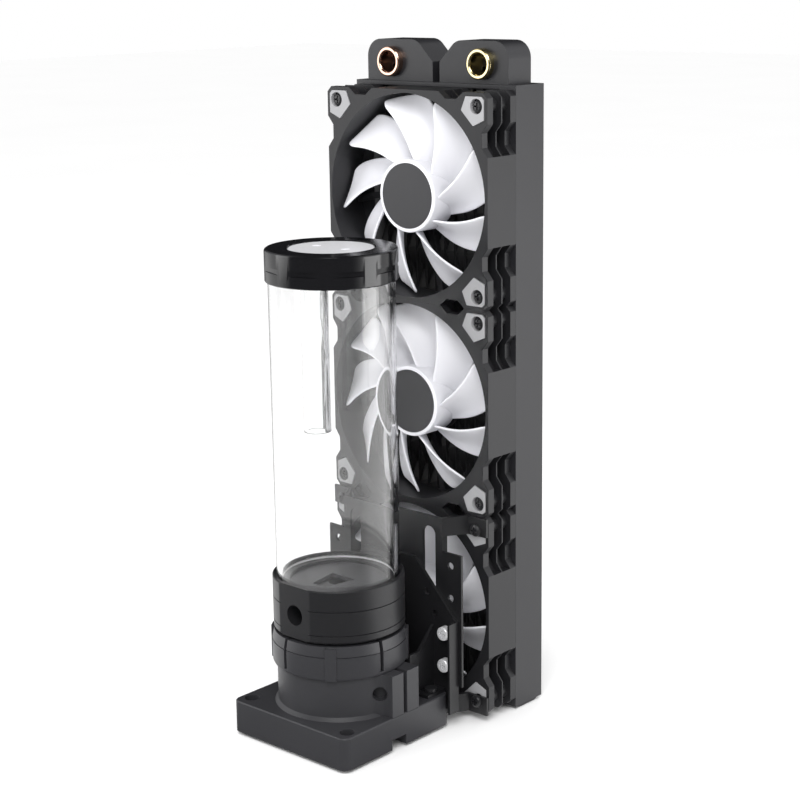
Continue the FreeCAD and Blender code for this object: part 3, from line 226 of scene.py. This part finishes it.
def moulded(name, face, shade, rough, grain, height, metal=0.0):
    """A surface whose tone drifts slowly and whose fine grain, in mm, breaks up the shine."""
    material = bpy.data.materials.new(name)
    material.use_nodes = True
    tree = material.node_tree
    shader = tree.nodes["Principled BSDF"]
    place = add_node(tree, "TexCoord").outputs["Object"]
    drift = add_node(tree, "TexNoise", {}, {"Vector": place, "Scale": 24.0, "Detail": 4.0})
    tone = add_node(tree, "MixRGB", {}, {
        "Fac": drift.outputs["Fac"], "Color1": linear(shade), "Color2": linear(face),
    })
    speck = add_node(tree, "TexNoise", {}, {
        "Vector": place, "Scale": 1 / (grain * MM), "Detail": 2.0,
    })
    shine = add_node(tree, "MapRange", {}, {
        "Value": speck.outputs["Fac"], "To Min": rough - 0.05, "To Max": rough + 0.07,
    })
    bump = add_node(tree, "Bump", {}, {
        "Height": speck.outputs["Fac"], "Strength": height, "Distance": 0.0001,
    })
    tree.links.new(tone.outputs["Color"], shader.inputs["Base Color"])
    tree.links.new(shine.outputs["Result"], shader.inputs["Roughness"])
    tree.links.new(bump.outputs["Normal"], shader.inputs["Normal"])
    shader.inputs["IOR"].default_value = 1.5
    shader.inputs["Metallic"].default_value = metal
    return material


base = softened("base_block", 0.35, 3)
base_acetal = moulded("milled_satin_acetal", "#343437", "#2f2f32", 0.42, 0.5, 0.25)
dress(base, base_acetal, "base_plastic", "unit", "base_block")


# Pump cover
# A moulded shell over the motor. Its foot flares on to the base, and a cable block with a
# slot down its middle reaches out to the base's edge.

cover = softened("pump_cover", 0.4, 3)
cover_nylon = moulded("moulded_glass_filled_nylon", "#353538", "#2f2f32", 0.44, 0.45, 0.3)
dress(cover, cover_nylon, "cover_plastic", "unit", "pump_cover")


# Lock ring
# The screw ring that holds the pump to its top: a taper above a fine line, four slits that
# open upwards for a wrench, and four raised ribs between them.

PUMP_Y = -33.75
RING_FOOT, RING_TOP = 45.8, 65.4
RING_RADIUS, RING_LINE = 38.8, 38.2
SLIT_TURN, RIB_TURN = -9, 36


def turned(name, rings, x=0, y=PUMP_Y, steps=128):
    """A turned shape raised ring by ring from a circle. Rings are radius and height in mm."""
    bpy.ops.object.select_all(action="DESELECT")
    radius, level = rings[0]
    bpy.ops.mesh.primitive_circle_add(
        vertices=steps, radius=radius * MM, location=(x * MM, y * MM, level * MM))
    piece = bpy.context.object
    piece.name = name
    piece.data.name = name
    bpy.ops.object.mode_set(mode="EDIT")
    bpy.ops.mesh.select_all(action="SELECT")
    for (radius, level), (wider, higher) in zip(rings, rings[1:]):
        bpy.ops.mesh.extrude_region_move(
            TRANSFORM_OT_translate={"value": (0, 0, (higher - level) * MM)})
        bpy.ops.transform.resize(
            value=(wider / radius, wider / radius, 1),
            center_override=(x * MM, y * MM, higher * MM))
    if rings[0] != rings[-1]:
        bpy.ops.mesh.edge_face_add()
        bpy.ops.mesh.select_mode(type="EDGE")
        bpy.ops.mesh.select_all(action="DESELECT")
        bpy.ops.mesh.select_non_manifold()
        bpy.ops.mesh.edge_face_add()
        bpy.ops.mesh.select_mode(type="VERT")
    bpy.ops.mesh.select_all(action="SELECT")
    bpy.ops.mesh.remove_doubles(threshold=0.000001)
    bpy.ops.mesh.normals_make_consistent(inside=False)
    bpy.ops.object.mode_set(mode="OBJECT")
    bpy.ops.object.transform_apply(location=True)
    return piece


def swing(piece, degrees, axis, about=(0, 0, 0)):
    """Turns a piece about an axis through a point in mm."""
    enter(piece)
    bpy.ops.transform.rotate(
        value=-math.radians(degrees), orient_axis=axis,
        center_override=[part * MM for part in about])
    bpy.ops.object.mode_set(mode="OBJECT")


def block(low, high):
    """A box between two corners in mm."""
    middle = [(a + b) / 2 * MM for a, b in zip(low, high)]
    bpy.ops.object.select_all(action="DESELECT")
    bpy.ops.mesh.primitive_cube_add(size=1, location=middle)
    piece = bpy.context.object
    piece.scale = [(b - a) * MM for a, b in zip(low, high)]
    bpy.ops.object.transform_apply(location=True, scale=True)
    return piece


def carve(piece, tool, way="DIFFERENCE"):
    """Cuts a tool shape out of a piece, or adds it, and removes the tool."""
    take(piece)
    cut = piece.modifiers.new("cut", "BOOLEAN")
    cut.operation = way
    cut.object = tool
    bpy.ops.object.modifier_apply(modifier=cut.name)
    bpy.data.objects.remove(tool)


ring = turned("lock_ring_shell", [
    (33.0, RING_FOOT), (RING_LINE, RING_FOOT), (RING_RADIUS, 47.0), (RING_RADIUS, 59.0),
    (RING_LINE, 59.0), (RING_LINE, 59.6), (RING_RADIUS, 59.6), (37.6, RING_TOP),
    (33.0, RING_TOP), (33.0, RING_FOOT),
])
for quarter in range(4):
    slit = block((-1.1, -46 + PUMP_Y, 47.8), (1.1, -31.0 + PUMP_Y, 66.9))
    swing(slit, SLIT_TURN + quarter * 90, "Z", (0, PUMP_Y, 0))
    carve(ring, slit)
    rib = block((-3.25, -39.4 + PUMP_Y, RING_FOOT), (3.25, -34.0 + PUMP_Y, 64.8))
    swing(rib, RIB_TURN + quarter * 90, "Z", (0, PUMP_Y, 0))
    carve(ring, rib, "UNION")
settle(ring, 0.3, 2)
ring_nylon = moulded("satin_moulded_nylon", "#333336", "#2d2d30", 0.38, 0.5, 0.2)
dress(ring, ring_nylon, "ring_plastic", "unit", "lock_ring")


# Pump top
# Turned from a round of black acetal: the volute below, the tube seat above, two fine lines
# round its side, and a milled flat on the front for the outlet's thread.

TOP_FOOT, TOP_RIM = 66.9, 97.6
TOP_RADIUS, TOP_LINE = 37.7, 37.1
TUBE_SEAT = 95.1
OUTLET_LEVEL = 80.5


def rod(radius, start, length, axis="Y", steps=64):
    """A round bar from a start point along an axis, in mm."""
    way = {"Y": Vector((0, 1, 0)), "Z": Vector((0, 0, 1))}[axis]
    middle = (Vector(start) + way * length / 2) * MM
    bpy.ops.object.select_all(action="DESELECT")
    bpy.ops.mesh.primitive_cylinder_add(
        vertices=steps, radius=radius * MM, depth=length * MM, location=middle,
        rotation=way.to_track_quat("Z", "Y").to_euler())
    bpy.ops.object.transform_apply(location=True, rotation=True)
    return bpy.context.object


top = turned("pump_top_shell", [
    (17.5, TOP_FOOT), (36.9, TOP_FOOT), (TOP_RADIUS, 67.9),
    (TOP_RADIUS, 71.2), (TOP_LINE, 71.5), (TOP_RADIUS, 71.8),
    (TOP_RADIUS, 85.2), (TOP_LINE, 85.5), (TOP_RADIUS, 85.8),
    (TOP_RADIUS, 97.0), (TOP_LINE, TOP_RIM), (35.45, TOP_RIM),
    (35.45, TUBE_SEAT), (28.0, TUBE_SEAT), (28.0, 91.4), (6.0, 91.4), (6.0, 76.9),
    (17.5, 76.9), (17.5, TOP_FOOT),
])
flat_cut = block((-40, -80, 66), (40, -35.9 + PUMP_Y, 98))
outlet = rod(5.9, (0, -72, OUTLET_LEVEL), 14.35)
volute_way = rod(3.0, (5, -58.65, 76.4), 12)
for tool in (flat_cut, outlet, volute_way):
    carve(top, tool)
settle(top, 0.25, 2)
turned_acetal = moulded("turned_black_acetal", "#202022", "#1c1c1e", 0.36, 0.6, 0.15)
dress(top, turned_acetal, "pump_top_plastic", "unit", "pump_top")


# Tube
# Clear cast acrylic, polished, between the pump top and the cap. The drop tube hangs from
# the cap inside it and carries returning coolant below the surface.

TUBE_FOOT, TUBE_TOP = 96.1, 268.7
DROP_X = -14
DROP_FOOT, DROP_TOP = 177.7, 269.7


def clear_acrylic(name, tint):
    """Polished clear plastic; long faint draw lines run up it."""
    material = bpy.data.materials.new(name)
    material.use_nodes = True
    tree = material.node_tree
    shader = tree.nodes["Principled BSDF"]
    place = add_node(tree, "TexCoord").outputs["Object"]
    stretched = add_node(tree, "Mapping", {}, {"Vector": place, "Scale": (60.0, 60.0, 2.0)})
    lines = add_node(tree, "TexNoise", {}, {
        "Vector": stretched.outputs["Vector"], "Scale": 1.0, "Detail": 1.0,
    })
    bump = add_node(tree, "Bump", {}, {
        "Height": lines.outputs["Fac"], "Strength": 0.08, "Distance": 0.0006,
    })
    tree.links.new(bump.outputs["Normal"], shader.inputs["Normal"])
    shader.inputs["Base Color"].default_value = linear(tint)
    shader.inputs["Transmission Weight"].default_value = 1.0
    shader.inputs["Roughness"].default_value = 0.02
    shader.inputs["IOR"].default_value = 1.49
    shader.inputs["Specular IOR Level"].default_value = 0.25
    return material


tube = turned("reservoir_tube_wall", [
    (32.2, TUBE_FOOT), (35.2, TUBE_FOOT), (35.2, TUBE_TOP), (32.2, TUBE_TOP), (32.2, TUBE_FOOT),
])
settle(tube, 0.25, 2)
tube_acrylic = clear_acrylic("cast_acrylic", "#ffffff")
dress(tube, tube_acrylic, "clear_tube", "unit", "reservoir_tube")
drop = turned("drop_tube_wall", [
    (6.0, DROP_FOOT), (8.0, DROP_FOOT), (8.0, DROP_TOP), (6.0, DROP_TOP), (6.0, DROP_FOOT),
], x=DROP_X, steps=64)
settle(drop, 0.25, 2)
drop_acrylic = clear_acrylic("extruded_acrylic", "#fafbfb")
dress(drop, drop_acrylic, "clear_tube", "unit", "drop_tube")


# Cap
# A gloss black ring that screws over the tube, with short slots milled round it for grip, and
# a pale screw plug in its middle that a pin wrench turns.

CAP_SKIRT, CAP_RIM = 265.7, 283.7
CAP_FLOOR, CAP_FLOOR_TOP = 269.7, 272.2
CAP_SLOTS, FIRST_SLOT = 9, 19
PLUG_RADIUS, PLUG_GROOVE = 24.0, 22.24
FILL_X = 12

cap = turned("cap_ring_shell", [
    (0.5, CAP_FLOOR), (35.45, CAP_FLOOR), (35.45, CAP_SKIRT), (36.4, CAP_SKIRT), (36.8, 266.2),
    (36.8, 282.3), (36.5, 283.2), (35.8, CAP_RIM), (24.8, CAP_RIM), (24.3, 283.2),
    (24.3, 273.7), (21.0, 273.7), (21.0, CAP_FLOOR_TOP), (0.5, CAP_FLOOR_TOP),
])
for number in range(CAP_SLOTS):
    slot = block((-18.4, -45 + PUMP_Y, 272.2), (18.4, -35.7 + PUMP_Y, 275.2))
    swing(slot, FIRST_SLOT + number * 360 / CAP_SLOTS, "Z", (0, PUMP_Y, 0))
    carve(cap, slot)
for hole_x, hole_radius in ((DROP_X, 6.0), (FILL_X, 7.0)):
    carve(cap, rod(hole_radius, (hole_x, PUMP_Y, TUBE_TOP), 5, "Z"))
settle(cap, 0.3, 3)
cap_gloss = moulded("polished_black_acetal", "#131315", "#101012", 0.14, 2.0, 0.03)
dress(cap, cap_gloss, "cap_plastic", "unit", "cap_ring")

plug = turned("fill_plug_disc", [
    (0.5, 274.0), (23.0, 274.0), (PLUG_RADIUS, 275.0), (PLUG_RADIUS, 277.18),
    (PLUG_GROOVE, 277.18), (PLUG_GROOVE, 279.42), (PLUG_RADIUS, 279.42), (PLUG_RADIUS, 282.8),
    (23.5, 283.3), (0.5, 283.3),
])
for side in (-1, 1):
    carve(plug, rod(2.6, (side * 11, PUMP_Y, 281.8), 3, "Z", 48))
settle(plug, 0.25, 3)
plug_finish = moulded("silvered_acrylic", "#e6e6e8", "#dcdce0", 0.2, 1.5, 0.05)
dress(plug, plug_finish, "plug_plastic", "plug", "fill_plug")


# Fans
# Glass filled frames with open corners, white swept blades moulded with the hub, a grey
# badge disc, pale rubber pads in the front corners, and black cross head screws.

FAN_Y = 28.0
FAN_LEVEL = {"bottom": 65, "middle": 185, "top": 305}
SCREW_PITCH = 105
PAD_FACE, BRACKET_FACE = 2.5, -2.1
BLADES = 9
ROOT_RADIUS, TIP_RADIUS = 20.4, 56.6

frame_nylon = moulded("glass_filled_fan_nylon", "#1f1f22", "#1b1b1d", 0.45, 0.4, 0.3)
blade_plastic = moulded("white_blade_plastic", "#ebebef", "#ececf2", 0.32, 1.0, 0.05)
badge_finish = moulded("brushed_badge_lacquer", "#2c2c2f", "#28282b", 0.4, 0.4, 0.1)
pad_rubber = moulded("pale_silicone_rubber", "#a2a2a4", "#969698", 0.5, 0.4, 0.3)
black_oxide = moulded("black_oxide_steel", "#232325", "#1b1b1d", 0.3, 0.3, 0.2)


def blade_spot(share, across):
    """A point on one blade: share from root to tip, across from leading to trailing edge."""
    radius = ROOT_RADIUS + (TIP_RADIUS - ROOT_RADIUS) * share
    lead = math.radians(34 * share ** 0.66)
    chord = math.radians(34 - 8 * share)
    angle = lead - chord * across
    camber = across + 0.22 * math.sin(math.pi * across)
    depth = 3.6 + 1.2 * share + (15.4 - 2.4 * share) * camber
    return Vector((radius * math.cos(angle), depth, radius * math.sin(angle))) * MM


def blade(name):
    """One swept blade drawn from a grid with rounded tip corners, thickened and softened."""
    bpy.ops.object.select_all(action="DESELECT")
    bpy.ops.mesh.primitive_grid_add(x_subdivisions=14, y_subdivisions=12, size=1)
    piece = bpy.context.object
    piece.name = name
    for vertex in piece.data.vertices:
        share = vertex.co.x + 0.5
        corner = max(0.0, share - 0.86) / 0.14
        across = 0.5 + vertex.co.y * (1 - 0.16 * corner ** 2)
        vertex.co = blade_spot(share, across)
    wall = piece.modifiers.new("wall", "SOLIDIFY")
    wall.thickness = 1.5 * MM
    wall.offset = 0
    bpy.ops.object.modifier_apply(modifier=wall.name)
    soft = piece.modifiers.new("soft", "SUBSURF")
    soft.levels = 2
    soft.render_levels = 2
    bpy.ops.object.modifier_apply(modifier=soft.name)
    return piece


def place_copy(source, name, offset, angle=0):
    """A copy of a finished shape with its own mesh, turned about Y and then moved."""
    piece = source.copy()
    piece.data = source.data.copy()
    piece.name = name
    piece.data.name = name
    bpy.context.scene.collection.objects.link(piece)
    spin = Matrix.Rotation(angle, 4, "Y")
    piece.data.transform(Matrix.Translation(Vector(offset) * MM) @ spin)
    return piece


def join(pieces, lead):
    """Joins several pieces into one of them."""
    bpy.ops.object.select_all(action="DESELECT")
    for piece in pieces:
        piece.select_set(True)
    bpy.context.view_layer.objects.active = lead
    bpy.ops.object.join()


def cross_screw(name, rings, deep):
    """A screw whose head faces the front at its seat, with a cross recess some mm deep.

    The rings run from the shank's tip to the middle of the head, with the seat at height 0.
    """
    screw = turned(name, rings, y=0, steps=48)
    recess_floor = rings[-1][1] - deep
    for wide, long in ((0.9, 4.2), (4.2, 0.9)):
        carve(screw, block((-wide / 2, -long / 2, recess_floor), (wide / 2, long / 2, 10)))
    swing(screw, 90, "X")
    settle(screw, 0.12, 1)
    return screw


def spread(pattern, name, spots):
    """One piece made of copies of a pattern at several places."""
    copies = [place_copy(pattern, "%s_%d" % (name, k), spot) for k, spot in enumerate(spots)]
    join(copies, copies[0])
    copies[0].name = name
    return copies[0]


hub = turned("rotor_pattern", [
    (1.5, 1.8), (18.75, 1.8), (18.75, 1.0), (20.0, 1.0), (20.7, 1.3), (21.0, 2.0),
    (21.0, 19.0), (18.8, 19.0), (18.8, 4.0), (1.5, 4.0), (1.5, 1.8),
], y=0)
swing(hub, -90, "X")
settle(hub, 0.2, 2)
first_blade = blade("blade_pattern")
blades = [
    place_copy(first_blade, "blade_%d" % k, (0, 0, 0), math.radians(360 / BLADES * k))
    for k in range(BLADES)
]
join(blades + [hub], hub)
bpy.ops.object.shade_smooth_by_angle(angle=math.radians(40))

badge = rod(18.6, (0, 1.0, 0), 0.8, "Y", 128)
settle(badge, 0.15, 2)

fan_screw = cross_screw("fan_screw_pattern", [
    (1.0, -25.1), (1.45, -24.6), (1.45, 0.0), (3.6, 0.0), (3.7, 0.4), (3.5, 1.3), (2.9, 1.9),
    (2.0, 2.2),
], 1.2)

for level_name, level in FAN_LEVEL.items():
    body = "fan_%s_rotor" % level_name
    shell = softened("fan_frame_" + level_name, 0.35)
    dress(shell, frame_nylon, "fan_frame_plastic", "unit", "fan_frame_" + level_name)
    rotor = place_copy(hub, "fan_rotor_%s_moulding" % level_name, (0, FAN_Y, level))
    dress(rotor, blade_plastic, "blade_plastic", body, "fan_rotor_" + level_name)
    disc = place_copy(badge, "fan_badge_%s_disc" % level_name, (0, FAN_Y, level))
    dress(disc, badge_finish, "badge_plastic", body, "fan_badge_" + level_name)
    pads = softened("fan_pads_" + level_name, 0.3)
    dress(pads, pad_rubber, "corner_pad", "unit", "fan_pads_" + level_name)
    seat = FAN_Y + (BRACKET_FACE if level_name == "bottom" else PAD_FACE)
    reach = (-SCREW_PITCH / 2, SCREW_PITCH / 2)
    corners = [(x, seat, level + z) for x in reach for z in reach]
    screws = spread(fan_screw, "fan_screws_%s_heads" % level_name, corners)
    dress(screws, black_oxide, "dark_screw", "unit", "fan_screws_" + level_name)
for pattern in (first_blade, hub, badge, fan_screw):
    bpy.data.objects.remove(pattern)


# Sheet brackets
# Steel sheet, folded and powder coated black: the fan bracket over the lowest fan, and the
# carrier that holds the base to it with four bright thumb screws.

CARRIER_FRONT = 10.5
THUMB_X, THUMB_LEVELS = 44.5, (39.0, 58.5)

powder_coat = moulded("black_powder_coat", "#1c1c1e", "#161618", 0.36, 0.35, 0.35)
for node, slot in (("fan_bracket", "bracket_paint"), ("carrier", "carrier_paint")):
    dress(softened(node, 0.25), powder_coat, slot, "unit", node)
nickel = moulded("nickel_plated_steel", "#f4f4f6", "#e6e6e8", 0.28, 0.5, 0.1, 0.5)
thumb_screw = cross_screw("thumb_screw_pattern", [
    (1.7, -5.1), (2.05, -4.7), (2.05, 0.0), (2.4, 0.0), (2.4, 1.6), (3.9, 1.6), (4.1, 2.0),
    (4.1, 5.6), (3.7, 6.2), (2.6, 6.4),
], 1.4)
spots = [(x, CARRIER_FRONT, z) for x in (-THUMB_X, THUMB_X) for z in THUMB_LEVELS]
thumb_screws = spread(thumb_screw, "carrier_thumb_screws", spots)
bpy.data.objects.remove(thumb_screw)
dress(thumb_screws, nickel, "bright_screw", "unit", "carrier_screws")
foot_screws = softened("foot_screws", 0.4)
dress(foot_screws, black_oxide, "dark_screw", "unit", "foot_screws")


# Radiator
# Painted aluminium: folded side plates, headers, a cast upper tank in two lobes and a flat
# lower tank, with soldered tubes and folded fins between, and a port collar in each lobe.

PORT_X, PORT_BACK, PORT_LEVEL = 33.9, 63.5, 378.5
PORT_BORE, PORT_RADIUS = 5.9, 8.7

satin_paint = moulded("satin_black_paint", "#262629", "#212124", 0.4, 0.8, 0.12)
core_paint = moulded("thin_black_core_paint", "#151517", "#101012", 0.5, 0.6, 0.2)
copper = moulded("rosy_turned_brass", "#ecc8b4", "#e0b49c", 0.2, 0.5, 0.05, 1.0)
brass = moulded("yellow_turned_brass", "#f0e2b4", "#e4d29a", 0.2, 0.5, 0.05, 1.0)
for node in (
        "rad_side_left", "rad_side_right", "rad_header_top", "rad_header_bottom",
        "rad_tank_bottom"):
    dress(softened(node, 0.3), satin_paint, "radiator_paint", "unit", node)
tank = softened("rad_tank_top", 0.8, 3)
dress(tank, satin_paint, "radiator_paint", "unit", "rad_tank_top")

collar = turned("port_collar_pattern", [
    (PORT_BORE, 0.0), (PORT_BORE, 11.2), (6.6, 12.0), (8.0, 12.0), (PORT_RADIUS, 11.2),
    (PORT_RADIUS, 0.0), (PORT_BORE, 0.0),
], y=0, steps=96)
swing(collar, 90, "X")
settle(collar, 0.25, 3)
for x, metal, slot, node in (
        (-PORT_X, copper, "port_copper", "rad_port_left"),
        (PORT_X, brass, "port_brass", "rad_port_right")):
    port = place_copy(collar, node + "_collar", (x, PORT_BACK, PORT_LEVEL))
    dress(port, metal, slot, "unit", node)
bpy.data.objects.remove(collar)


# Carried over
# Pieces inside the pump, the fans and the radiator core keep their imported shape. Each gets
# the finish of what it is made of.

copper_wire = moulded("enamelled_copper_wire", "#a2603a", "#8f5230", 0.35, 0.8, 0.5, 0.8)
inner_nylon = moulded("black_inner_nylon", "#222224", "#1b1b1d", 0.45, 0.5, 0.2)
plate_nylon = moulded("grey_intake_plate", "#4c4c4f", "#444447", 0.4, 0.6, 0.15)
seal_rubber = moulded("soft_black_rubber", "#141414", "#0e0e0e", 0.6, 0.6, 0.3)
clear_silicone = moulded("milky_silicone_sheet", "#f2f2f4", "#e8e8ea", 0.35, 0.8, 0.1)
ceramic = moulded("polished_ceramic", "#e8e8e4", "#e0e0dc", 0.12, 1.0, 0.02)
board_coat = moulded("green_board_coat", "#1d4a2c", "#173e24", 0.35, 1.2, 0.2)
bronze = moulded("sintered_bronze", "#b08c4c", "#9c7a3e", 0.35, 0.3, 0.3, 1.0)
ground_steel = moulded("ground_steel", "#c4c4c6", "#b6b6b8", 0.25, 0.4, 0.1, 1.0)

KEPT = {
    "rad_tubes": core_paint, "rad_fins": core_paint, "motor_can": inner_nylon,
    "motor_core": copper_wire, "drive_board": board_coat, "pivot_ball": ceramic,
    "impeller": inner_nylon, "pump_seal": seal_rubber, "foot_seal": clear_silicone,
    "cap_seal": clear_silicone, "plug_seal": seal_rubber, "intake_plate": plate_nylon,
}
for level_name in FAN_LEVEL:
    KEPT["fan_shaft_" + level_name] = ground_steel
    KEPT["fan_bearing_" + level_name] = bronze
    KEPT["fan_stator_" + level_name] = copper_wire
for node, material in KEPT.items():
    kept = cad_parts[node]
    if not kept.material_slots:
        kept.data.materials.append(material)
    for material_slot in kept.material_slots:
        material_slot.material = material
